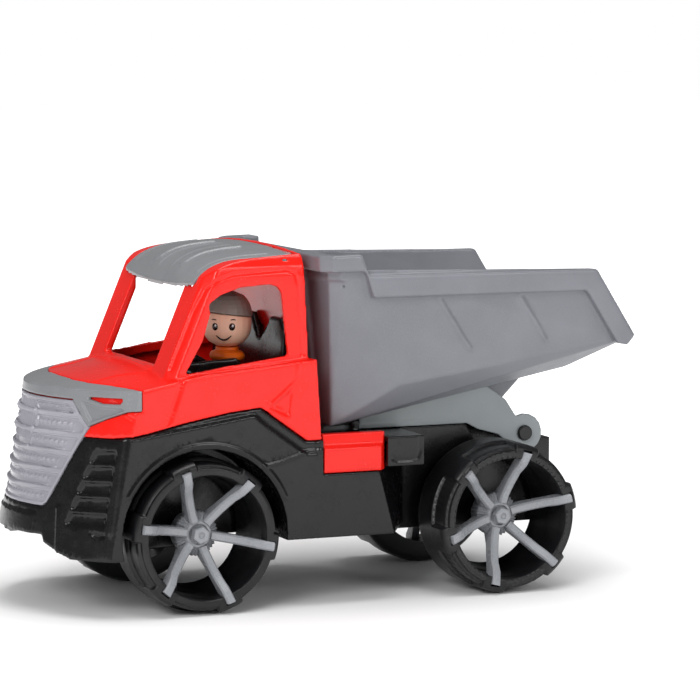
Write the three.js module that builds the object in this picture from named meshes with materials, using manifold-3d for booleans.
// A push-along tipper truck for small children, about 294 mm long.
//
// The model stands on its four wheels. +X is the driving direction, +Y is the truck's left side
// and +Z is up. The origin is the middle of the truck's bounding box, on the ground.
// While the pieces are made, x is measured forwards from the rear axle and z upwards from the
// ground; the last lines of the file move everything to the origin.
import * as THREE from 'three';
import { mergeVertices } from 'three/addons/utils/BufferGeometryUtils.js';
import { ConvexGeometry } from 'three/addons/geometries/ConvexGeometry.js';
import Module from 'manifold-3d';

const wasm = await Module();
wasm.setup();

// ---------------------------------------------------------------- driving dimensions (mm)

const wheelbase = 154;
const tyreRadius = 36;
const tyreWidth = 31;
const tyreInnerFaceY = 33.8;
const bodyHalfWidth = 61.5;
const tubHalfWidth = 71;
const cabHeight = 88.5;
const noseOverhang = 76.5;
const tailOverhang = 62.3;
const wall = 2.2;
const clearance = 0.3;
const axleRadius = 2;
const pivotRadius = 3;
const archGap = 4.5;
const wheelSpokes = 6;

// ---------------------------------------------------------------- derived datums

const frontAxleX = wheelbase;
const axleZ = tyreRadius;
const archRadius = tyreRadius + archGap;
const archTop = axleZ + archRadius;
const noseX = frontAxleX + noseOverhang;
const tailX = -tailOverhang;
const roofZ = archTop + cabHeight;
const cabRearX = frontAxleX - 50.7;
const tyreOuterFaceY = tyreInnerFaceY + tyreWidth;
const railHalfWidth = tyreInnerFaceY - 3.3;

// ---------------------------------------------------------------- solids from geometry

function toSolid(geometry) {
  const bare = geometry.clone();
  bare.deleteAttribute('normal');
  bare.deleteAttribute('uv');
  const merged = mergeVertices(bare, 1e-4);
  const kept = [];
  const index = merged.index.array;
  for (let i = 0; i < index.length; i += 3) {
    const [a, b, c] = [index[i], index[i + 1], index[i + 2]];
    if (a !== b && b !== c && c !== a) kept.push(a, b, c);
  }
  const mesh = new wasm.Mesh({
    numProp: 3,
    vertProperties: new Float32Array(merged.attributes.position.array),
    triVerts: new Uint32Array(kept),
  });
  return new wasm.Manifold(mesh);
}

function toGeometry(solid) {
  const mesh = solid.getMesh();
  const geometry = new THREE.BufferGeometry();
  geometry.setAttribute('position', new THREE.BufferAttribute(mesh.vertProperties, 3));
  geometry.setIndex(new THREE.BufferAttribute(mesh.triVerts, 1));
  return geometry;
}

function union(...solids) {
  return solids.reduce((total, solid) => total.add(solid));
}

// A flat outline pushed along x, y or z from start to end. Its points are (y, z), (x, z) or (x, y).
function prism(axis, points, start, end) {
  const outline = points.map(([u, v]) => new THREE.Vector2(u, v));
  const shape = new THREE.Shape(outline);
  const geometry = new THREE.ExtrudeGeometry(shape, { depth: end - start, bevelEnabled: false });
  const matrix = new THREE.Matrix4();
  if (axis === 'x') {
    matrix.makeBasis(new THREE.Vector3(0, 1, 0), new THREE.Vector3(0, 0, 1), new THREE.Vector3(1, 0, 0));
    matrix.setPosition(start, 0, 0);
  } else if (axis === 'y') {
    matrix.makeRotationX(Math.PI / 2);
    matrix.setPosition(0, end, 0);
  } else {
    matrix.setPosition(0, 0, start);
  }
  geometry.applyMatrix4(matrix);
  return toSolid(geometry);
}

function box(x0, x1, y0, y1, z0, z1) {
  const geometry = new THREE.BoxGeometry(x1 - x0, y1 - y0, z1 - z0);
  geometry.translate((x0 + x1) / 2, (y0 + y1) / 2, (z0 + z1) / 2);
  return toSolid(geometry);
}

// A round bar along y, between two values of y.
function barY(x, z, radius, y0, y1, sides = 32, endRadius = radius) {
  const geometry = new THREE.CylinderGeometry(endRadius, radius, y1 - y0, sides);
  geometry.translate(x, (y0 + y1) / 2, 0);
  geometry.translate(0, 0, z);
  return toSolid(geometry);
}

// A round bar along z.
function barZ(x, y, radius, z0, z1, sides = 24, endRadius = radius) {
  const geometry = new THREE.CylinderGeometry(endRadius, radius, z1 - z0, sides);
  geometry.rotateX(Math.PI / 2);
  geometry.translate(x, y, (z0 + z1) / 2);
  return toSolid(geometry);
}

// A body of revolution about a line parallel to y; the profile holds (radius, y) pairs.
function turnY(x, z, profile, sides = 48) {
  const points = profile.map(([radius, y]) => new THREE.Vector2(radius, y));
  const geometry = new THREE.LatheGeometry(points, sides);
  geometry.translate(x, 0, z);
  const solid = toSolid(geometry);
  return solid.volume() < 0 ? toSolid(flipped(geometry)) : solid;
}

// A body of revolution about a line parallel to z; the profile holds (radius, z) pairs.
function turnZ(x, y, profile, sides = 32) {
  const points = profile.map(([radius, z]) => new THREE.Vector2(radius, z));
  const geometry = new THREE.LatheGeometry(points, sides);
  geometry.rotateX(Math.PI / 2);
  geometry.translate(x, y, 0);
  const solid = toSolid(geometry);
  return solid.volume() < 0 ? toSolid(flipped(geometry)) : solid;
}

function flipped(geometry) {
  const copy = geometry.clone();
  const index = Array.from(copy.index.array);
  for (let i = 0; i < index.length; i += 3) {
    [index[i], index[i + 1]] = [index[i + 1], index[i]];
  }
  copy.setIndex(index);
  return copy;
}

// A block with a flat bottom whose top is a grid; placeX gives x for each step of the grid.
function mound(placeX, stepsX, halfWidth, stepsY, bottom, top) {
  const geometry = new THREE.BoxGeometry(1, 1, 1, stepsX, stepsY, 1);
  const position = geometry.attributes.position;
  for (let i = 0; i < position.count; i += 1) {
    const y = position.getY(i) * 2 * halfWidth;
    const x = placeX(Math.round((position.getX(i) + 0.5) * stepsX), y);
    const z = position.getZ(i) > 0 ? top(x, y) : bottom;
    position.setXYZ(i, x, y, z);
  }
  return toSolid(geometry);
}

// A solid between two outlines with the same number of points, given anticlockwise from above.
function loft(lower, upper) {
  const count = lower.length;
  const outline = lower.map(([x, y]) => new THREE.Vector2(x, y));
  const index = [];
  for (const [a, b, c] of THREE.ShapeUtils.triangulateShape(outline, [])) {
    index.push(a, c, b, a + count, b + count, c + count);
  }
  for (let i = 0; i < count; i += 1) {
    const next = (i + 1) % count;
    index.push(i, next, next + count, i, next + count, i + count);
  }
  const geometry = new THREE.BufferGeometry();
  geometry.setAttribute('position', new THREE.Float32BufferAttribute([...lower, ...upper].flat(), 3));
  geometry.setIndex(index);
  return toSolid(geometry);
}

function hull(points) {
  return toSolid(new ConvexGeometry(points.map(([x, y, z]) => new THREE.Vector3(x, y, z))));
}

function mirrored(points) {
  return points.concat(points.map(([x, y, z]) => [x, -y, z]));
}

function flipY(solid) {
  return solid.mirror([0, 1, 0]);
}

function bothSides(solid) {
  return solid.add(flipY(solid));
}

// A quarter-round between two points of an outline, bulging away from the given centre.
function arc(cx, cy, radius, from, to, steps) {
  const points = [];
  for (let i = 0; i <= steps; i += 1) {
    const angle = THREE.MathUtils.degToRad(from + ((to - from) * i) / steps);
    points.push([cx + radius * Math.cos(angle), cy + radius * Math.sin(angle)]);
  }
  return points;
}

function roundedRect(x0, x1, z0, z1, radius, steps = 4) {
  return [
    ...arc(x1 - radius, z1 - radius, radius, 0, 90, steps),
    ...arc(x0 + radius, z1 - radius, radius, 90, 180, steps),
    ...arc(x0 + radius, z0 + radius, radius, 180, 270, steps),
    ...arc(x1 - radius, z0 + radius, radius, 270, 360, steps),
  ];
}

// ---------------------------------------------------------------- the nose and hood surfaces

// The front of the truck is a raked sheet that sweeps back towards both sides.
const noseRake = 0.178;
const noseSweep = 32.2 / bodyHalfWidth ** 2;
const hoodFrontZ = archTop + 27.5;
const hoodRise = 0.19;
const hoodCrown = 5.6 / bodyHalfWidth ** 2;
const noseSteps = 12;

function noseAt(y, z) {
  return noseX - noseRake * (z - axleZ) - noseSweep * y * y;
}

const hoodFrontX = noseAt(0, hoodFrontZ);

function hoodAt(x, y) {
  return hoodFrontZ + hoodRise * (hoodFrontX - x) - hoodCrown * y * y;
}

// The space behind the nose sheet, set back by inset, from z0 to z1 and from backX forwards.
function noseBody(inset, backX, z0, z1, halfWidth = bodyHalfWidth) {
  const side = halfWidth - inset;
  const outline = (z) => {
    const points = [[backX, side, z], [backX, -side, z]];
    for (let i = 0; i <= noseSteps; i += 1) {
      const y = -side + (2 * side * i) / noseSteps;
      points.push([noseAt(y, z) - inset, y, z]);
    }
    return points;
  };
  return loft(outline(z0), outline(z1));
}

function underHood(inset, bottom) {
  const top = (x, y) => hoodAt(x, y) - inset;
  return mound((step) => (step === 0 ? cabRearX - 20 : noseX + 5), 1, bodyHalfWidth + 5, 10, bottom, top);
}

// ---------------------------------------------------------------- wheels and axles

const rimBoreRadius = 28.8;
const tyreBackRadius = 25.5;
const spokeTipRadius = tyreRadius - 3;
const spokeTipY = tyreOuterFaceY + 2.4;
const hubOuterY = tyreOuterFaceY - 10.8;
const hubInnerY = tyreInnerFaceY + 3.4;
const hubRadius = 6.5;
const spokeHalfWidth = 2;
const collarRadius = 10.8;
const nutRadius = 4.4;

function spokeAngles(phase) {
  return Array.from({ length: wheelSpokes }, (_, i) => phase + (i * 360) / wheelSpokes);
}

function turned(solid, degrees, x, z) {
  return solid.translate([-x, 0, -z]).rotate([0, degrees, 0]).translate([x, 0, z]);
}

// The tyre is a hollow barrel, notched where the ends of the spokes lie.
function makeTyre(x, phase) {
  const [y0, y1] = [tyreInnerFaceY, tyreOuterFaceY];
  const profile = [
    [tyreBackRadius, y0], [tyreRadius - 3.3, y0], [tyreRadius, y0 + 3], [tyreRadius, y1 - 3.4],
    [tyreRadius - 2.6, y1], [rimBoreRadius, y1], [tyreBackRadius, y0],
  ];
  const barrel = turnY(x, axleZ, profile, 36);
  const pocket = spokePocket(x, y1);
  const pockets = spokeAngles(phase).map((angle) => turned(pocket, angle, x, axleZ));
  return pockets.reduce((tyre, cut) => tyre.subtract(cut), barrel);
}

// The notch in the tyre that a spoke's end lies in.
function spokePocket(x, faceY) {
  const side = spokeHalfWidth + clearance;
  const depth = 9.5;
  return box(x - side, x + side, faceY - depth, faceY + 4, axleZ + rimBoreRadius - 5, axleZ + spokeTipRadius + clearance);
}

// The spider: six deep blades sweep out from a sunk hub to the tyre's face.
function makeRim(x, phase) {
  const blade = prism('x', [
    [hubOuterY - 1.1, axleZ + 2], [hubOuterY - 1, axleZ + 9], [hubOuterY + 2.6, axleZ + 17.5],
    [spokeTipY - 3.2, axleZ + 26], [spokeTipY, axleZ + spokeTipRadius - 0.8], [spokeTipY - 0.6, axleZ + spokeTipRadius],
    [tyreOuterFaceY - 6, axleZ + spokeTipRadius], [tyreOuterFaceY - 16, axleZ + 15], [hubInnerY + 2, axleZ + 5],
  ], x - spokeHalfWidth, x + spokeHalfWidth);
  const blades = spokeAngles(phase).map((angle) => turned(blade, angle, x, axleZ));
  const hub = barY(x, axleZ, hubRadius, hubInnerY, hubOuterY - 2, 18);
  const collar = barY(x, axleZ, collarRadius, hubInnerY + 4, hubOuterY - 5, 18);
  const bore = barY(x, axleZ, axleRadius + clearance, hubInnerY - 1, hubOuterY + 3, 16);
  const nutSeat = barY(x, axleZ, nutRadius + clearance, hubOuterY - 2, hubOuterY + 6, 18);
  return union(hub, collar, ...blades).subtract(bore).subtract(nutSeat);
}

function makeNut(x) {
  const radius = nutRadius;
  const [y0, y1] = [hubOuterY - 2 + clearance, hubOuterY + 2.4];
  const hex = barY(x, axleZ, radius, y0, y1, 6);
  const bore = barY(x, axleZ, axleRadius + clearance, y0 - 1, y1 - 1, 16);
  return hex.subtract(bore);
}

function makeAxle(x) {
  const end = hubOuterY + 1.1;
  return barY(x, axleZ, axleRadius, -end, end, 16);
}

// ---------------------------------------------------------------- black chassis moulding

const deckZ = archTop + 1.5;
const skirtZ = axleZ - 4;
const railBottomZ = axleZ - 7;
const fasciaBottomZ = axleZ - 9.2;
const bumperBottomZ = axleZ + 0.6;
const bumperHalfWidth = 29;
const bumperProud = 0.9;
const sideWallInnerY = bodyHalfWidth - wall;
const rearWallX = tyreRadius + 8;
const sidePanelX = rearWallX + 23.7;
const skirtLean = 0.26;
const grilleDepth = 2.6;
const pivotX = -22;
const pivotZ = archTop - 4.1;
const lugSlot = { x0: rearWallX + 20.4, x1: rearWallX + 41.6, y0: 20.2, y1: 30.4 };

// The lower edge of the red cab, from its rear corner over the wheel arch to the nose.
const cabEdge = [
  [frontAxleX - 57.7, archTop + 1.7], [frontAxleX - 50.4, archTop + 1.7],
  [frontAxleX - 27.4, archTop + 18.2], [frontAxleX - 12, archTop + 16.6],
  [frontAxleX + 10.4, archTop + 12.6], [frontAxleX + 27.3, archTop + 8.8],
  [frontAxleX + 41.8, archTop + 6.3], [noseX + 5, archTop + 6.3],
];

function grilleOutline(grow) {
  const side = [
    [26.5, axleZ + 13.8], [28.8, axleZ + 15.6], [30.2, axleZ + 18.4], [43.8, axleZ + 51.2], [34, hoodFrontZ - 5.2],
  ];
  const right = side.map(([y, z]) => [y + grow, z]);
  right[0][1] -= grow;
  right[4][1] += grow;
  const left = right.map(([y, z]) => [-y, z]).reverse();
  return [...right, ...left];
}

function makeChassis(screwPosts) {
  const top = cabEdge.map(([x, z]) => [x, z - clearance]);
  const sideOutline = [
    [rearWallX, fasciaBottomZ], [noseX + 5, fasciaBottomZ], ...top.reverse(),
    [frontAxleX - 58.2, deckZ], [rearWallX, deckZ],
  ];
  const envelope = prism('y', sideOutline, -bodyHalfWidth - 1, bodyHalfWidth + 1)
    .intersect(noseBody(0, rearWallX, fasciaBottomZ, deckZ + 40));
  const innerHalf = bodyHalfWidth + grilleDepth;
  const hollow = noseBody(wall + grilleDepth, rearWallX + wall, 0, deckZ - wall, innerHalf);
  const cabWell = noseBody(wall + grilleDepth, frontAxleX - 58, deckZ, deckZ + 40, innerHalf);
  const liner = bothSides(barY(frontAxleX, axleZ, archRadius + wall, railHalfWidth - wall, bodyHalfWidth, 32))
    .intersect(envelope);
  let body = union(envelope.subtract(hollow).subtract(cabWell), liner);
  body = body.subtract(bothSides(barY(frontAxleX, axleZ, archRadius, railHalfWidth, bodyHalfWidth + 9, 36)));

  // The skirt between the wheels steps in behind the side panels, and its lower edge is level.
  const skirtTopZ = axleZ + 28;
  const cornerX = (z) => sidePanelX - skirtLean * (skirtTopZ - z);
  const slantStartY = railHalfWidth + 3;
  const behindSlant = (z, back) => [
    [rearWallX - 9, slantStartY, z], [rearWallX - 1 + back, slantStartY, z],
    [cornerX(z) + back, bodyHalfWidth + back, z], [cornerX(z) + back, bodyHalfWidth + 3, z], [rearWallX - 9, bodyHalfWidth + 3, z],
  ];
  const behind = loft(behindSlant(0, 0), behindSlant(skirtTopZ, 0));
  body = body.subtract(bothSides(behind));
  const slantWall = (z) => [
    [rearWallX - 1, slantStartY - 4, z], [rearWallX + 2.2, slantStartY - 4, z],
    [cornerX(z) + 2.2, bodyHalfWidth - 0.4, z], [cornerX(z) - 0.3, bodyHalfWidth - 0.4, z],
    [rearWallX - 1, slantStartY, z],
  ];
  const slant = loft(slantWall(skirtZ), slantWall(skirtTopZ));
  const shelf = prism('z', [
    [rearWallX, railHalfWidth], [sidePanelX + 2, railHalfWidth], [sidePanelX + 2, bodyHalfWidth - 1], [rearWallX, bodyHalfWidth - 1],
  ], skirtTopZ, skirtTopZ + 2);
  body = union(body, bothSides(slant), bothSides(shelf));

  // The fender steps in above a crest line that follows the cab's lower edge.
  const aboveCrest = prism('y', [
    [noseX, archTop + 2.6], [noseX, archTop + 24], [frontAxleX - 56, archTop + 24], [frontAxleX - 56, archTop - 4.6],
    [frontAxleX - 49.5, archTop - 4.6], [frontAxleX - 30.6, archTop + 9], [frontAxleX - 24, archTop + 14.5], [frontAxleX + 34, archTop + 6.2],
  ], bodyHalfWidth - 1, bodyHalfWidth + 3);
  body = body.subtract(bothSides(aboveCrest));

  const underSkirt = box(rearWallX - 5, frontAxleX, -bodyHalfWidth - 3, bodyHalfWidth + 3, 0, skirtZ);
  const underBumper = prism('x', [
    [-bumperHalfWidth - 18, 0], [bumperHalfWidth + 18, 0], [bumperHalfWidth + 16, fasciaBottomZ],
    [bumperHalfWidth + 2, bumperBottomZ - 3.5], [bumperHalfWidth, bumperBottomZ], [-bumperHalfWidth, bumperBottomZ],
    [-bumperHalfWidth - 2, bumperBottomZ - 3.5], [-bumperHalfWidth - 16, fasciaBottomZ],
  ], frontAxleX + 30, noseX + 6);
  body = body.subtract(underSkirt).subtract(underBumper);
  const bumperPad = noseBody(-bumperProud, frontAxleX, bumperBottomZ, bumperBottomZ + 9.5)
    .subtract(noseBody(3, frontAxleX - 5, bumperBottomZ - 1, bumperBottomZ + 12))
    .intersect(box(frontAxleX + 50, noseX + 5, -bumperHalfWidth + 5, bumperHalfWidth - 5, 0, deckZ));
  body = body.add(bumperPad);

  // Recesses in the nose sheet: the grille's seat, the slatted vents and the slim lamp troughs.
  const sheet = noseBody(-2, frontAxleX, 0, deckZ + 40).subtract(noseBody(grilleDepth, frontAxleX - 5, -1, deckZ + 41));
  body = body.subtract(sheet.intersect(prism('x', grilleOutline(clearance), frontAxleX, noseX + 9)));
  const shallow = noseBody(-2, frontAxleX, 0, deckZ + 40).subtract(noseBody(1.6, frontAxleX - 5, -1, deckZ + 41));
  for (let row = 0; row < 5; row += 1) {
    const z0 = axleZ + 6.4 + row * 7.2;
    const lean = 1.6 * row;
    const slat = prism('x', [
      [40.5 + lean, z0], [56.6, z0 + 0.4], [56.6, z0 + 6], [42 + lean, z0 + 5.6],
    ], frontAxleX + 20, noseX + 6);
    body = body.subtract(bothSides(shallow.intersect(slat)));
  }
  const trough = prism('x', [
    [41, axleZ + 9.6], [44, axleZ + 10.2], [47.5, axleZ + 4.6], [57.5, axleZ + 3.4], [56.5, axleZ + 1.2], [43, axleZ + 6.2],
  ], frontAxleX + 20, noseX + 6);
  const dip = noseBody(-2, frontAxleX, 0, deckZ).subtract(noseBody(1, frontAxleX - 5, -1, deckZ + 1));
  body = body.subtract(bothSides(dip.intersect(trough)));

  // Seats for the two side boxes.
  const seat = box(boxX0 - clearance, boxX1 + clearance, boxInnerY - clearance, bodyHalfWidth + 3, boxZ0 - clearance, boxZ1 + 5);
  const backing = box(boxX0 - 2, boxX1 + 2, boxInnerY - clearance - wall, boxInnerY - clearance, boxZ0 - 2.5, deckZ);
  const ledge = box(boxX0 - 2, boxX1 + 2, boxInnerY - wall, bodyHalfWidth - 0.2, boxZ0 - 2.5, boxZ0 - clearance)
    .subtract(behind);
  body = union(body, bothSides(backing), bothSides(ledge)).subtract(bothSides(seat));

  // The narrow rear frame that carries the rear axle and the tipper's pivot.
  const railTop = archTop - 7;
  const rearEnd = pivotX - 15;
  const railFrontX = rearWallX + 14.5;
  const railProfile = [
    [rearEnd, railBottomZ + 4], [rearEnd + 5, railBottomZ], [railFrontX, railBottomZ], [railFrontX, deckZ],
    [8, deckZ], [3, railTop], [pivotX + 9.5, railTop], [pivotX + 6.5, pivotZ + 4.5], [pivotX + 3.5, pivotZ + 6.5],
    [pivotX - 3.5, pivotZ + 6.5], [pivotX - 6.5, pivotZ + 4.5], [pivotX - 9.5, railTop], [rearEnd, railTop],
  ];
  const rails = prism('y', railProfile, -railHalfWidth, railHalfWidth);
  const railGap = box(rearEnd + wall, railFrontX + 1, wall - railHalfWidth, railHalfWidth - wall, 0, railTop - wall);
  const railRoom = box(8 + wall, railFrontX + 3, wall - railHalfWidth, railHalfWidth - wall, 0, deckZ - wall);
  const pivotRoom = box(rearEnd - 1, 1, wall - railHalfWidth, railHalfWidth - wall, railTop, deckZ + 9);
  body = body.subtract(box(rearWallX - 1, railFrontX + 2, wall - railHalfWidth, railHalfWidth - wall, 0, deckZ - wall));
  body = union(body, rails.subtract(railGap).subtract(railRoom).subtract(pivotRoom));
  const bearing = (x) => barY(x, axleZ, axleRadius + 2.6, -railHalfWidth + 0.4, railHalfWidth - 0.4, 16);
  body = union(body, bearing(0), bearing(frontAxleX));
  const cheeks = box(frontAxleX - 9, frontAxleX + 9, -railHalfWidth, -railHalfWidth + wall, railBottomZ, axleZ + 6);
  body = body.add(bothSides(cheeks));

  // Holes: axles, pivot pin, and the two slots that the tipping frame's hooks drop into.
  const bore = (x) => barY(x, axleZ, axleRadius + clearance, -railHalfWidth - 5, railHalfWidth + 5, 16);
  body = body.subtract(bore(0)).subtract(bore(frontAxleX));
  body = body.subtract(barY(pivotX, pivotZ, pivotRadius + clearance, -railHalfWidth - 5, railHalfWidth + 5, 20));
  const { x0, x1, y0, y1 } = lugSlot;
  body = body.subtract(bothSides(box(x0, x1, y0, y1, deckZ - 5, deckZ + 5)));
  const post = box(rearWallX + 22.6, rearWallX + 27, armOuterY + 0.6, armOuterY + 4, deckZ - 1, deckZ + 5.4);
  body = body.add(bothSides(post));
  for (const [x, y] of screwPosts) {
    body = body.add(barZ(x, y, 4.4, deckZ - 9, deckZ - wall / 2, 12));
    body = body.subtract(barZ(x, y, screwRadius + clearance, deckZ - 20, deckZ + 9, 10));
    body = body.subtract(barZ(x, y, screwHeadRadius + clearance, deckZ - 20, deckZ - 4, 12));
  }
  return body;
}

// ---------------------------------------------------------------- red side boxes and screws

const boxX0 = sidePanelX - 4.6;
const boxX1 = frontAxleX - 59;
const boxZ0 = axleZ + 26.4;
const boxZ1 = deckZ + 2.4;
const boxInnerY = bodyHalfWidth - 7;
const screwRadius = 1.5;
const screwHeadRadius = 2.8;
const screwLength = 12;

function makeSideBox() {
  const outer = bodyHalfWidth - 0.3;
  const profile = [
    [boxInnerY, boxZ0], [outer, boxZ0], [outer + 0.6, boxZ0 + 1.2], [outer + 0.6, boxZ1 - 6.6],
    [outer - 1.6, boxZ1 - 5.2], [outer - 2, boxZ1], [boxInnerY, boxZ1],
  ];
  const end = prism('z', [
    [boxX0 - 1, outer - 4.4], [boxX0 + 4.6, outer + 2], [boxX0 - 1, outer + 2],
  ], boxZ0 - 1, boxZ1 + 1);
  return prism('x', profile, boxX0, boxX1).subtract(end);
}

function makeScrew(x, y) {
  const top = deckZ + screwLength - 4.5;
  const shank = barZ(x, y, screwRadius, deckZ - 5.2, top - 2, 10);
  const tip = barZ(x, y, screwRadius, top - 2, top, 10, 0.4);
  const head = barZ(x, y, screwHeadRadius, deckZ - 6.6, deckZ - 4.5, 12);
  const slotA = box(x - 1.6, x + 1.6, y - 0.35, y + 0.35, deckZ - 7, deckZ - 5.6);
  const slotB = box(x - 0.35, x + 0.35, y - 1.6, y + 1.6, deckZ - 7, deckZ - 5.6);
  return union(shank, tip, head).subtract(slotA).subtract(slotB);
}

// ---------------------------------------------------------------- red cab

const houseHalfWidth = bodyHalfWidth - 4.5;
const pillarEdgeY = houseHalfWidth - 4.4;
const pillarInnerY = 34.5;
const screenBaseX = frontAxleX + 16.8;
const screenBaseZ = archTop + 34;
const screenSlope = 0.418;
const roofFrontX = frontAxleX + 0.6;
const roofBulge = 1.6;
const roofCrown = 2;
const roofStops = [-0.06, 0.1, 0.35, 0.55, 0.68, 0.78, 0.86, 0.92, 0.96, 1, 1.5];
const cabWall = 2.4;
const hatchThickness = 2;
const hatchRearX = cabRearX + 5.2;
const hatchHingeX = hatchRearX + 3.8;
const hatchHingeZ = roofZ - 3.8;
const hatchSweep = 7.2;
const cowlX = frontAxleX + 12;

function screenX(z) {
  return screenBaseX - screenSlope * (z - screenBaseZ);
}

function roofFrontAt(y) {
  return roofFrontX + roofBulge * (1 - (y / 46) ** 2);
}

// The roof falls gently forwards and then turns down steeply over the windscreen.
function roofAt(x, y) {
  const front = roofFrontAt(y);
  const t = Math.min(1, Math.max(0, (x - cabRearX) / (front - cabRearX)));
  const crown = roofCrown * (1 - (y / 50) ** 2) * (1 - 2.3 * t ** 6);
  return roofZ - 3.2 * t - 9 * t ** 6 + crown - 2 * Math.max(0, x - front);
}

function underRoof(inset, bottom, halfWidth) {
  const top = (x, y) => roofAt(x, y) - inset;
  const placeX = (step, y) => cabRearX + roofStops[step] * (roofFrontAt(y) - cabRearX);
  return mound(placeX, roofStops.length - 1, halfWidth, 8, bottom, top);
}

// The upper cab between the sill and the roof, set in from the doors.
function house(inset, frontInset, roofInset) {
  const outline = (z) => {
    const rear = cabRearX - 2.3 + 0.05 * (z - screenBaseZ) + inset;
    const front = screenX(z) - frontInset;
    const half = houseHalfWidth - inset;
    const edge = pillarEdgeY - inset;
    return [
      [rear, half, z], [rear, -half, z], [front - 4.6, -half, z], [front, -edge, z],
      [front, edge, z], [front - 4.6, half, z],
    ];
  };
  const [z0, z1] = [screenBaseZ - 8, roofZ + 12];
  const half = houseHalfWidth - inset;
  const shoulders = prism('x', [
    [-half - 1, z0 - 1], [half + 1, z0 - 1], [half + 0.3, roofZ - 12], [half - 0.6, roofZ - 5.5 - roofInset],
    [half - 2.4, roofZ - 2.2 - roofInset], [half - 5, roofZ + 0.4 - roofInset], [half - 9, roofZ + 9], [-half + 9, roofZ + 9],
    [-half + 5, roofZ + 0.4 - roofInset], [-half + 2.4, roofZ - 2.2 - roofInset], [-half + 0.6, roofZ - 5.5 - roofInset],
    [-half - 0.3, roofZ - 12],
  ], cabRearX - 20, screenBaseX + 20);
  return loft(outline(z0), outline(z1)).intersect(shoulders).intersect(underRoof(roofInset, z0 - 5, houseHalfWidth + 6));
}

// The lower cab with the doors and the hood.
function doors(inset) {
  const sill = [
    [noseX + 9, archTop + 60], [cowlX - inset, archTop + 60], [cowlX - inset, archTop + 33 - inset],
    [cabRearX - 4.5 + inset, archTop + 39.4 - inset],
  ];
  const lower = inset > 0
    ? [[cabRearX - 7 + inset, archTop - 3], [noseX + 9, archTop - 3]]
    : [...cabEdge];
  return prism('y', [...lower, ...sill], -bodyHalfWidth - 1, bodyHalfWidth + 1);
}

function hatchOutline(grow) {
  const side = [
    [hatchRearX - grow, 52 + grow], [frontAxleX - 29, 52 + grow], [frontAxleX - 15, 47.4 + grow], [roofFrontX - 0.2, 46.4 + grow],
  ];
  const front = [[roofFrontX + 0.4 + grow, 40], [roofFrontX + 1.2 + grow, 26], [roofFrontX + 1.7 + grow, 0]];
  const half = [...side, ...front];
  return [...half, ...half.slice(0, -1).reverse().map(([x, y]) => [x, -y])];
}

// Everything in front of this line on the hood belongs to the silver trim.
function trimPlan(grow) {
  const half = [
    [hoodFrontX - 14.4 - grow, 0], [hoodFrontX - 15.4 - grow, 18], [hoodFrontX - 18.6 - grow, 30],
    [hoodFrontX - 22 - grow, 37.4], [frontAxleX + 30.8 - grow, 60.5], [frontAxleX + 30.8 - grow, bodyHalfWidth + 4],
    [noseX + 8, bodyHalfWidth + 4],
  ];
  return [...half, ...half.slice(1).reverse().map(([x, y]) => [x, -y])];
}

function trimFront(grow) {
  const half = [
    [34 - grow, hoodFrontZ - 5.2 + 0.6 - grow], [43.6, axleZ + 51.6 - grow], [52, hoodFrontZ - 11.8 - grow],
    [58, hoodFrontZ - 8.8 - grow], [bodyHalfWidth + 4, hoodFrontZ - 8 - grow], [bodyHalfWidth + 4, hoodFrontZ + 20],
  ];
  return [...half, ...half.slice().reverse().map(([y, z]) => [-y, z])];
}

function noseShell(inset, depth) {
  const outer = noseBody(inset, cabRearX, archTop - 3, archTop + 60).intersect(underHood(inset, archTop - 4));
  const inner = noseBody(depth, cabRearX - 5, archTop - 6, archTop + 62).intersect(underHood(depth, archTop - 7));
  return outer.subtract(inner);
}

const doorWindow = [
  [frontAxleX + 8.2, archTop + 34.4], [frontAxleX - 0.4, archTop + 49.3], [frontAxleX - 4.2, archTop + 62],
  [frontAxleX - 3.6, archTop + 66.3], [frontAxleX - 8.8, archTop + 70.1], [frontAxleX - 18.6, archTop + 73.5],
  [frontAxleX - 33.4, archTop + 74.6], [frontAxleX - 37.2, archTop + 73.4], [frontAxleX - 39.2, archTop + 70.6],
  [frontAxleX - 42.4, archTop + 42], [frontAxleX - 41.6, archTop + 41.1],
];

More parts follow.
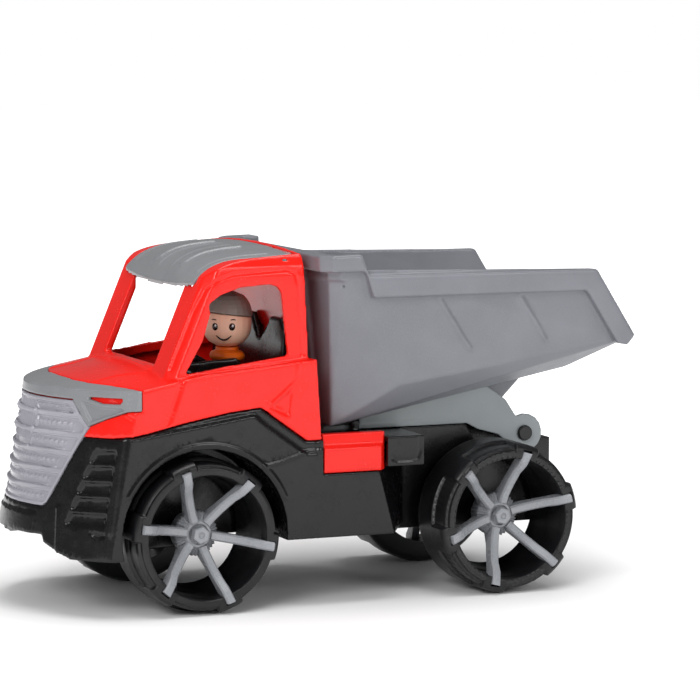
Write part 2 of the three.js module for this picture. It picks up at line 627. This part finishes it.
function makeCab(screwPosts) {
  const shell = noseBody(0, cabRearX - 7, archTop - 3, archTop + 62).intersect(underHood(0, archTop - 4)).intersect(doors(0));
  const rearCorner = prism('y', [
    [cabRearX - 12, archTop - 3], [cabRearX - 7.2, archTop - 3], [cabRearX - 4.5, archTop + 39.5], [cabRearX - 12, archTop + 39.5],
  ], -bodyHalfWidth - 1, bodyHalfWidth + 1);
  const deep = wall + grilleDepth;
  const room = noseBody(deep, cabRearX - 4.8, archTop - 6, archTop + 64, bodyHalfWidth + deep - cabWall)
    .intersect(underHood(cabWall + 2.2, archTop - 7)).intersect(doors(cabWall));
  const upper = house(0, 0, 0);
  const upperRoom = house(cabWall, 4, 4.4);
  let cab = union(shell.subtract(rearCorner), upper).subtract(room).subtract(upperRoom);
  cab = cab.subtract(prism('y', doorWindow, -bodyHalfWidth - 5, bodyHalfWidth + 5));
  const screen = box(frontAxleX - 16, screenBaseX + 4, -pillarInnerY, pillarInnerY, screenBaseZ + 2.6, roofZ + 9);
  cab = cab.subtract(screen);

  // The roof is open under the hatch, with a rebate that the hatch lies in.
  const opening = prism('z', hatchOutline(-2.2), roofZ - 26, roofZ + 12);
  const sweep = barY(hatchHingeX, hatchHingeZ, hatchSweep, -52 - clearance, 52 + clearance, 20);
  const visor = box(roofFrontX - 6, screenBaseX, -pillarEdgeY + 6, pillarEdgeY - 6, roofZ - 26, roofZ + 12);
  const rebate = prism('z', hatchOutline(clearance), roofZ - 26, roofZ + 12).add(visor)
    .intersect(underRoof(-3, roofZ - 30, houseHalfWidth).subtract(underRoof(hatchThickness + clearance, roofZ - 31, houseHalfWidth + 1)));
  cab = cab.subtract(opening).subtract(rebate).subtract(sweep);
  cab = cab.subtract(barY(hatchHingeX, hatchHingeZ, hatchPinRadius + clearance, -54.8, 54.8, 12));

  // Seats for the trim and the grille.
  const trimSeat = noseShell(-3, 2 + clearance).intersect(prism('z', trimPlan(clearance), archTop, archTop + 60))
    .intersect(prism('x', trimFront(clearance), frontAxleX + 20, noseX + 9));
  const sheet = noseBody(-2, frontAxleX, 0, deckZ + 60).subtract(noseBody(grilleDepth, frontAxleX - 5, -1, deckZ + 61));
  cab = cab.subtract(trimSeat).subtract(sheet.intersect(prism('x', grilleOutline(clearance), frontAxleX + 30, noseX + 9)));

  // Grooves in the door skins.
  const groove = (a, b, halfWidth) => {
    const [dx, dz] = [b[0] - a[0], b[1] - a[1]];
    const length = Math.hypot(dx, dz);
    const [nx, nz] = [(-dz / length) * halfWidth, (dx / length) * halfWidth];
    return prism('y', [
      [a[0] + nx, a[1] + nz], [b[0] + nx, b[1] + nz], [b[0] - nx, b[1] - nz], [a[0] - nx, a[1] - nz],
    ], bodyHalfWidth - 0.7, bodyHalfWidth + 2);
  };
  const doorLine = groove([frontAxleX + 10.6, archTop + 32], [frontAxleX + 17, archTop + 13.6], 0.6);
  const diagonal = groove([frontAxleX - 45.6, archTop + 31], [frontAxleX - 31.6, archTop + 19.8], 0.8);
  const dent = prism('y', [
    [frontAxleX - 33, archTop + 18.6], [frontAxleX - 42, archTop + 25.6], [frontAxleX - 41.2, archTop + 13.8],
  ], bodyHalfWidth - 0.9, bodyHalfWidth + 2);
  cab = cab.subtract(bothSides(doorLine)).subtract(bothSides(diagonal)).subtract(bothSides(dent));
  for (const [x, y] of screwPosts) {
    const post = barZ(x, y, 4, deckZ + clearance, deckZ + 16, 12);
    const toSide = box(x - 1.1, x + 1.1, 0, bodyHalfWidth - 1, deckZ + 4, deckZ + 16)
      .subtract(box(x - 2, x + 2, -1, Math.abs(y), deckZ, deckZ + 20));
    const toNose = box(x, x + 16, y - 1.1, y + 1.1, deckZ + 5.2, deckZ + 14)
      .intersect(noseBody(grilleDepth + 1, cabRearX, deckZ, deckZ + 20));
    const web = x > frontAxleX ? toNose : (y > 0 ? toSide : flipY(toSide));
    const hole = barZ(x, y, screwRadius + 0.12, deckZ - 1, deckZ + screwLength - 2, 10);
    cab = cab.add(post).add(web).subtract(hole);
  }
  return cab;
}

// ---------------------------------------------------------------- silver trim, grille and hatch

function makeTrim() {
  let trim = noseShell(0, 2).intersect(prism('z', trimPlan(0), archTop, archTop + 60))
    .intersect(prism('x', trimFront(0), frontAxleX + 20, noseX + 9));
  const slot = prism('x', [
    [41.6, hoodFrontZ - 3.9], [47.6, hoodFrontZ - 5.7], [55.2, hoodFrontZ - 5.6], [55.8, hoodFrontZ - 2.9],
    [41.2, hoodFrontZ - 3.1],
  ], frontAxleX + 20, noseX + 9);
  const panel = prism('x', [
    [38.4, hoodFrontZ - 5], [44.4, axleZ + 53.8], [56.4, hoodFrontZ - 8.6], [56.8, hoodFrontZ - 7.6],
    [47, hoodFrontZ - 7.3], [41, hoodFrontZ - 5.4],
  ], frontAxleX + 20, noseX + 9);
  const skin = noseBody(-2, cabRearX, archTop, archTop + 62).subtract(noseBody(1, cabRearX - 5, archTop - 2, archTop + 64));
  trim = trim.subtract(bothSides(slot)).subtract(bothSides(panel.intersect(skin)));
  return trim;
}

function makeGrille() {
  const face = prism('x', grilleOutline(0), frontAxleX + 30, noseX + 9);
  const inner = prism('x', grilleOutline(-1.6), frontAxleX + 30, noseX + 9);
  const layer = (outer, depth) => noseBody(outer, frontAxleX, 0, deckZ + 40)
    .subtract(noseBody(depth, frontAxleX - 5, -1, deckZ + 41));
  const plate = layer(1.1, grilleDepth - clearance).intersect(face);
  const rim = layer(0, grilleDepth - clearance).intersect(face).subtract(inner);
  let grille = plate.add(rim);
  for (let row = 0; row < 5; row += 1) {
    const z = axleZ + 20.6 + row * 8.5;
    const band = box(frontAxleX + 30, noseX + 9, -60, 60, z, z + 2.2);
    grille = grille.add(layer(0.1, 1.6).intersect(face).intersect(band));
  }
  return grille;
}

const hatchPinRadius = 1.6;

function makeHatch() {
  const skin = underRoof(0, roofZ - 30, houseHalfWidth).subtract(underRoof(hatchThickness, roofZ - 31, houseHalfWidth + 1));
  let hatch = skin.intersect(prism('z', hatchOutline(0), roofZ - 20, roofZ + 12));
  const flange = prism('y', [
    [hatchHingeX - 3.4, hatchHingeZ], [hatchHingeX - 2.4, hatchHingeZ - 2.4], [hatchHingeX, hatchHingeZ - 3.4],
    [hatchHingeX + 2.4, hatchHingeZ - 2.4], [frontAxleX - 30, roofZ - 4.2], [frontAxleX - 30, roofZ - 1.6], [hatchHingeX - 3.4, roofZ - 0.6],
  ], 46, 48.2);
  const pin = barY(hatchHingeX, hatchHingeZ, hatchPinRadius, 47, 54.4, 12);
  const trimmed = bothSides(flange.add(pin)).intersect(underRoof(0.5, roofZ - 31, houseHalfWidth));
  hatch = hatch.add(trimmed);
  // Two long raised ribs run back from the front edge.
  for (const y of [-17, 17]) {
    const rib = prism('z', [[frontAxleX - 34, y - 2.2], [frontAxleX - 6, y - 3], [frontAxleX - 4, y], [frontAxleX - 6, y + 3], [frontAxleX - 34, y + 2.2]],
      roofZ - 20, roofZ + 12);
    hatch = hatch.add(underRoof(-0.8, roofZ - 30, houseHalfWidth).subtract(underRoof(1, roofZ - 31, houseHalfWidth + 1)).intersect(rib));
  }
  return hatch;
}

// ---------------------------------------------------------------- cab interior and driver

const floorZ = deckZ + clearance + 1;
const driverX = frontAxleX - 26.5;
const driverY = 20;
const seatTopZ = floorZ + 14;
const seatBackZ = archTop + 57;
const wheelCentre = [frontAxleX - 13.5, driverY + 2.8, archTop + 35];
const steeringRadius = 9.6;
const steeringTilt = 35;
const neckRadius = 3;

function makeInterior() {
  const rear = cabRearX + 1.4;
  const front = cowlX - 4;
  const half = 45;
  const seat = prism('y', [
    [rear, floorZ], [front, floorZ], [front, archTop + 31], [front - 3, archTop + 33], [front - 9, archTop + 32],
    [front - 12, archTop + 27], [front - 12, floorZ + 2], [rear + 20, floorZ + 2], [rear + 20, seatTopZ - 2],
    [rear + 18, seatTopZ], [rear + 7, seatTopZ - 1], [rear + 4, seatBackZ], [rear + 0.8, seatBackZ], [rear, archTop + 36],
  ], -half, half);
  const aisle = box(rear + 7, rear + 21, -4, 4, floorZ + 2, seatBackZ);
  const notch = prism('x', [
    [3, seatBackZ + 1], [5, seatBackZ - 2], [13, archTop + 46], [17, archTop + 46], [26, seatBackZ - 2], [28, seatBackZ + 1],
  ], rear - 1, rear + 9);
  const corner = prism('x', [
    [half + 1, seatBackZ + 1], [half - 6, seatBackZ + 1], [half - 3, seatBackZ - 3], [half + 1, seatBackZ - 6],
  ], rear - 1, rear + 9);
  const bolster = prism('y', [
    [driverX - 2, floorZ], [front - 2, floorZ], [front - 2, archTop + 37], [driverX + 1.6, archTop + 38.8],
    [driverX - 0.8, archTop + 36.6], [driverX - 2, archTop + 31],
  ], driverY + 13.4, driverY + 17);
  const tilt = THREE.MathUtils.degToRad(steeringTilt);
  const along = (reach) => [wheelCentre[0] + reach * Math.sin(tilt), wheelCentre[1], wheelCentre[2] - reach * Math.cos(tilt)];
  const column = tubeBetween(along(1.1 + clearance), along(20), 2.4);
  return seat.subtract(aisle).subtract(bothSides(notch)).subtract(bothSides(corner)).add(bolster).add(column);
}

// A plain round bar between two points.
function tubeBetween(a, b, radius, sides = 16) {
  const [from, to] = [new THREE.Vector3(...a), new THREE.Vector3(...b)];
  const length = from.distanceTo(to);
  const geometry = new THREE.CylinderGeometry(radius, radius, length, sides);
  const direction = to.clone().sub(from).normalize();
  geometry.applyQuaternion(new THREE.Quaternion().setFromUnitVectors(new THREE.Vector3(0, 1, 0), direction));
  const middle = from.add(to).multiplyScalar(0.5);
  geometry.translate(middle.x, middle.y, middle.z);
  return toSolid(geometry);
}

function makeSteeringWheel() {
  const ring = new THREE.TorusGeometry(steeringRadius - 1.6, 1.6, 6, 20);
  const rimSolid = toSolid(ring);
  const hub = toSolid(new THREE.CylinderGeometry(2.6, 2.6, 2.2, 10).rotateX(Math.PI / 2));
  const spokes = [90, 210, 330].map((angle) => box(0, steeringRadius - 1.8, -1.1, 1.1, -0.7, 0.7).rotate([0, 0, angle]));
  const wheel = union(rimSolid, hub, ...spokes);
  return wheel.rotate([0, -steeringTilt, 0]).translate(wheelCentre);
}

const headRadius = 11.6;
const headHeight = 11.2;
const headZ = archTop + 53.7;
const collarTopZ = headZ - headHeight + 0.2;
const neckTopZ = headZ - headHeight + 3.5;
const capRadius = headRadius + 0.6;
const capHeight = 15.4;
const capSlope = 0.12;

function makeDriverBody() {
  const z0 = seatTopZ + clearance;
  const torso = turnZ(0, 0, [
    [0, z0], [6.2, z0], [6.8, z0 + 1], [7.9, archTop + 35], [7.9, archTop + 38], [0, archTop + 38],
  ], 18);
  const shoulders = turnZ(0, 0, [
    [0, archTop + 36], [8, archTop + 36], [10.6, archTop + 37.2], [11, archTop + 38.6], [9.8, archTop + 40.2],
    [6.8, archTop + 41.2], [0, archTop + 41.2],
  ], 20);
  const neck = turnZ(0, 0, [
    [0, archTop + 40], [5.5, archTop + 40], [5.5, collarTopZ], [neckRadius, collarTopZ], [neckRadius, neckTopZ], [0, neckTopZ],
  ], 18);
  return union(torso.scale([0.62, 1, 1]), shoulders.scale([0.74, 1, 1]), neck).translate([driverX, driverY, 0]);
}

// A round, slightly squared body from one height to another; share is the part of the full height.
function egg(radius, height, power, fromShare, toShare, steps) {
  const profile = [[0, headZ + height * fromShare]];
  for (let i = 0; i <= steps; i += 1) {
    const share = fromShare + ((toShare - fromShare) * i) / steps;
    const across = Math.max(0, 1 - Math.abs(share) ** power) ** (1 / power);
    profile.push([radius * across, headZ + height * share]);
  }
  profile.push([0, headZ + height * toShare]);
  return turnZ(driverX, driverY, profile, 20);
}

// Everything above the tilted line where the cap sits on the head.
function aboveCapLine(lift) {
  const at = (x) => headZ + 4.3 + lift + capSlope * (x - driverX);
  const [x0, x1] = [driverX - 20, driverX + 20];
  return prism('y', [[x0, at(x0)], [x1, at(x1)], [x1, headZ + 30], [x0, headZ + 30]], driverY - 20, driverY + 20);
}

function makeDriverHead() {
  const head = egg(headRadius, headHeight, 2.4, -0.95, 0.6, 9).subtract(aboveCapLine(0));
  return head.subtract(barZ(driverX, driverY, neckRadius + clearance, headZ - 20, neckTopZ + clearance, 16));
}

function makeCap() {
  return egg(capRadius, capHeight, 2.5, 0.1, 0.99, 7).intersect(aboveCapLine(clearance));
}

// ---------------------------------------------------------------- tipper tub

const tubFrontX = cabRearX - 3.8;
const tubRimZ = archTop + 77.9;
const headboardZ = archTop + 87.9;
const rimBand = 10;
const rimThickness = 4.6;
const tubWall = 2;
const floorFrontZ = archTop + 5.8;
const floorSlope = 0.19;
const floorHalfWidth = 47.7;
const floorFrontX = tubFrontX - 13.2;
const floorKneeX = -36;
const tailTopX = tailX + 20.6;
const tailLowZ = archTop + 45.6;
const armOuterY = tyreInnerFaceY - 3 * clearance;
const armInnerY = armOuterY - 2;

function tubFloorZ(x) {
  const knee = floorFrontZ + floorSlope * (floorFrontX - floorKneeX);
  return x > floorKneeX ? floorFrontZ + floorSlope * (floorFrontX - x) : knee + 0.45 * (floorKneeX - x);
}

// The hopper: a wide box whose sides fold in along a slanting line to a narrower floor.
function hopper(inset, extraTop, extraTail) {
  const half = tubHalfWidth - rimThickness - inset;
  const slide = extraTail;
  const points = [
    [tubFrontX - 6 - inset, half - 6, tubRimZ + 3 + extraTop], [tubFrontX - 12 - inset, half, tubRimZ + 3 + extraTop],
    [tailTopX + 1 - slide, half, tubRimZ + extraTop], [tailTopX + 1 - slide, half, tubRimZ - 3],
    [tubFrontX - 7 - inset, half - 6.5, tubRimZ - 8],
    [frontAxleX - 96.6 - inset * 0.6, half - 4.5, archTop + 26 + inset * 0.9],
    [tailX + 3 - slide, half, tailLowZ - 2 + inset + slide * 0.35],
    [floorFrontX - inset, floorHalfWidth - inset * 0.8, floorFrontZ + inset],
    [floorKneeX, floorHalfWidth - inset * 0.8, tubFloorZ(floorKneeX) + inset],
    [tailX + 5 - slide, floorHalfWidth + 2 - inset * 0.8, tubFloorZ(tailX + 5 - slide) + inset],
  ];
  return hull(mirrored(points));
}

function makeTub() {
  const outer = hopper(0, 0, 0);
  const inner = hopper(tubWall, 20, 12);
  const tailCut = prism('y', [
    [tailTopX - 3, tubRimZ + 30], [tailTopX - 3, tubRimZ + 0.2], [tailX - 1, tailLowZ - 0.6], [tailX + 4, tailLowZ - 20],
    [tailX - 40, tailLowZ - 20], [tailX - 40, tubRimZ + 30],
  ], -tubHalfWidth - 9, tubHalfWidth + 9);

  // The rim: one raised band along the sides, up round the headboard and down the tail edges.
  const band = prism('y', [
    [tubFrontX - 5, headboardZ], [frontAxleX - 74, headboardZ + 0.4], [frontAxleX - 77.6, tubRimZ + 0.4], [tailTopX, tubRimZ],
    [tailX, tailLowZ], [tailX + 4, tailLowZ - 4.6], [tailX + 9.4, tailLowZ - 3.6], [tailTopX + 5.4, tubRimZ - rimBand], [frontAxleX - 80, tubRimZ - rimBand],
    [frontAxleX - 76, headboardZ - 7.6], [tubFrontX - 5, headboardZ - 7.6],
  ], tubHalfWidth - rimThickness - 0.6, tubHalfWidth);
  const headboard = prism('z', [
    [tubFrontX, 65], [tubFrontX - 5.4, tubHalfWidth], [tubFrontX - 9, tubHalfWidth], [tubFrontX - 9, -tubHalfWidth],
    [tubFrontX - 5.4, -tubHalfWidth], [tubFrontX, -65],
  ], headboardZ - 7.6, headboardZ);
  const headWall = prism('z', [
    [tubFrontX - 5.6, 61.5], [tubFrontX - 10.6, tubHalfWidth - rimThickness], [frontAxleX - 76.6, tubHalfWidth - rimThickness],
    [frontAxleX - 76.6, -tubHalfWidth + rimThickness], [tubFrontX - 10.6, -tubHalfWidth + rimThickness], [tubFrontX - 5.6, -61.5],
  ], tubRimZ - 2, headboardZ);
  const headRoom = prism('z', [
    [tubFrontX - 8, 60.5], [tubFrontX - 12.6, tubHalfWidth - rimThickness - tubWall], [frontAxleX - 79, tubHalfWidth - rimThickness - tubWall],
    [frontAxleX - 79, -tubHalfWidth + rimThickness + tubWall], [tubFrontX - 12.6, -tubHalfWidth + rimThickness + tubWall], [tubFrontX - 8, -60.5],
  ], tubRimZ - 6, headboardZ + 3);
  const lip = prism('y', [
    [tailX + 4.4, tailLowZ - 6.6], [tailX + 6.4, tailLowZ - 8.8], [tailX + 14, tailLowZ - 11.8], [tailX + 15, tailLowZ - 8],
  ], -floorHalfWidth + 4, floorHalfWidth - 4).subtract(inner);
  let tub = union(outer, headWall, bothSides(band), headboard, lip).subtract(inner).subtract(headRoom).subtract(tailCut);

  // Slanting ribs on the sides and two broad flutes on the front wall.
  const sideY = tubHalfWidth - rimThickness;
  const rib = (xTop, zTop, xLow, zLow, width) => prism('y', [
    [xTop - width, zTop], [xTop + width, zTop], [xLow + width, zLow], [xLow - width, zLow],
  ], sideY - 1.6, sideY + 0.9);
  const ribs = union(
    rib(frontAxleX - 112.8, tubRimZ - rimBand + 1, frontAxleX - 132, archTop + 41, 0.9),
    rib(-0.8, tubRimZ - rimBand + 1, -17, archTop + 44, 0.9),
  );
  tub = tub.add(bothSides(ribs).intersect(hopper(-0.9, 0, 0)));
  for (const y of [-30, 30]) {
    const flute = prism('y', [
      [tubFrontX - 8, headboardZ - 7], [tubFrontX - 3.6, headboardZ - 7], [floorFrontX + 1.6, floorFrontZ + 4], [floorFrontX - 1.4, floorFrontZ + 4],
    ], y - 5, y + 5).subtract(inner);
    tub = tub.add(flute);
  }

  // Two keels under the floor sit between the arms of the tipping frame.
  const keelTop = (x) => tubFloorZ(x) + 1;
  const keel = prism('y', [
    [58, keelTop(58)], [52, framePlateTopZ + 0.5], [8, framePlateTopZ + 0.5], [pivotX + 11, archTop + 11.5], [pivotX - 5, archTop + 27.4], [pivotX - 5, keelTop(pivotX - 5)],
  ], armInnerY - 4.6, armInnerY - 2.6);
  const keelEnd = prism('y', [
    [pivotX + 11, archTop + 11.5], [pivotX + 13, archTop + 11.7], [pivotX - 1, archTop + 28], [pivotX - 5, archTop + 28],
  ], -armInnerY + 2.6, armInnerY - 2.6);
  return union(tub, bothSides(keel), keelEnd.subtract(inner));
}

// ---------------------------------------------------------------- silver tipping frame

const framePlateZ = deckZ + 0.5;
const framePlateTopZ = framePlateZ + 2.2;
const pinHeadRadius = 3.5;

// Two side arms and a plate between them, with a slotted hook under each front end.
function makeFrame() {
  const under = (x) => tubFloorZ(x) - clearance;
  const endRadius = 9.4;
  const round = arc(pivotX, pivotZ, endRadius, 62, 285, 10);
  const arm = prism('y', [
    [lugSlot.x0 + 0.8, framePlateZ], [lugSlot.x0 + 0.8, under(lugSlot.x0 + 0.8)], [1, under(1)], [pivotX + 10, archTop + 12.6],
    ...round, [pivotX + 14, archTop - 4.2], [2.7, archTop - 1.2], [8.6, framePlateZ],
  ], armInnerY, armOuterY);
  const plate = box(8.6, lugSlot.x1 - 1.6, -armOuterY, armOuterY, framePlateZ, framePlateTopZ);
  const [x0, x1] = [lugSlot.x0 + 1.8, lugSlot.x1 - 1.8];
  const [y0, y1] = [lugSlot.y0 + 0.8, lugSlot.y1 - 0.8];
  const hook = prism('y', roundedRect(x0, x1, archTop - 15.5, framePlateTopZ + 0.6, 4, 2), y0, y1);
  const eye = prism('y', roundedRect(x0 + 2.6, x1 - 2.6, archTop - 12.6, archTop - 6.6, 2.4, 2), y0 - 3, y1 + 3);
  const stiffener = box(12, lugSlot.x0 + 1, armOuterY - 0.4, armOuterY + 0.2, framePlateZ + 1.4, framePlateZ + 2.2);
  const ring = barY(pivotX, pivotZ, pivotRadius + clearance, -armOuterY - 2, armOuterY + 2, 20);
  const cross = box(10, 14, -armInnerY - 1, armInnerY + 1, framePlateZ, framePlateTopZ);
  return union(plate, bothSides(arm), bothSides(hook), bothSides(stiffener), cross).subtract(bothSides(eye)).subtract(ring);
}

function makePivotPin() {
  const end = armOuterY + clearance;
  const pin = barY(pivotX, pivotZ, pivotRadius, -end, end, 20);
  const head = barY(pivotX, pivotZ, pinHeadRadius + 0.4, end, end + 1.6, 20, pinHeadRadius);
  return pin.add(bothSides(head));
}

// ---------------------------------------------------------------- materials

const plastic = (colour, roughness, metalness = 0) => new THREE.MeshStandardMaterial({ color: colour, roughness, metalness });
const red = plastic('#e0160b', 0.22);
const black = plastic('#0d0d0f', 0.35);
const silver = plastic('#a3a5ab', 0.38, 0.25);
const tubGrey = plastic('#8f959c', 0.4, 0.15);
const frameGrey = plastic('#a9b2b5', 0.4, 0.1);
const clearGrey = plastic('#b9bac0', 0.25, 0.1);
const tyreBlack = plastic('#1c1c1e', 0.55);
const steel = plastic('#b8b8b8', 0.25, 1);
const orange = plastic('#f36b0a', 0.35);
const skin = plastic('#e9b48f', 0.4);
const capGrey = plastic('#8a857c', 0.35);

// ---------------------------------------------------------------- assembly

const truck = new THREE.Group();

function addPiece(name, solid, material) {
  const mesh = new THREE.Mesh(toGeometry(solid), material);
  mesh.name = name;
  truck.add(mesh);
}

const screwPlaces = [
  [frontAxleX - 47, 50], [frontAxleX - 47, -50], [frontAxleX + 50, 30], [frontAxleX + 50, -30],
];

addPiece('chassis', makeChassis(screwPlaces), black);
addPiece('cab_shell', makeCab(screwPlaces), red);
addPiece('hood_trim', makeTrim(), silver);
addPiece('grille', makeGrille(), clearGrey);
addPiece('roof_hatch', makeHatch(), silver);
addPiece('cab_interior', makeInterior(), black);
addPiece('steering_wheel', makeSteeringWheel(), black);
addPiece('driver_body', makeDriverBody(), orange);
addPiece('driver_head', makeDriverHead(), skin);
addPiece('driver_cap', makeCap(), capGrey);
addPiece('side_box_left', makeSideBox(), red);
addPiece('side_box_right', flipY(makeSideBox()), red);
addPiece('tipper_tub', makeTub(), tubGrey);
addPiece('tipping_frame', makeFrame(), frameGrey);
addPiece('tipper_pivot_pin', makePivotPin(), black);
screwPlaces.forEach(([x, y], i) => addPiece(`cab_screw_${i + 1}`, makeScrew(x, y), steel));

const axles = [
  { name: 'front', x: frontAxleX, phase: { left: 19.7, right: 40 } },
  { name: 'rear', x: 0, phase: { left: -14.9, right: 10 } },
];
for (const { name, x, phase } of axles) {
  addPiece(`${name}_axle`, makeAxle(x), steel);
  for (const side of ['left', 'right']) {
    const place = (solid) => (side === 'left' ? solid : flipY(solid));
    addPiece(`${name}_${side}_tyre`, place(makeTyre(x, phase[side])), tyreBlack);
    addPiece(`${name}_${side}_rim`, place(makeRim(x, phase[side])), silver);
    addPiece(`${name}_${side}_nut`, place(makeNut(x)), silver);
  }
}

// The origin is halfway between the bumper's front and the tub's tail.
truck.position.x = -(noseAt(0, bumperBottomZ) + bumperProud + tailX) / 2;

export default truck;
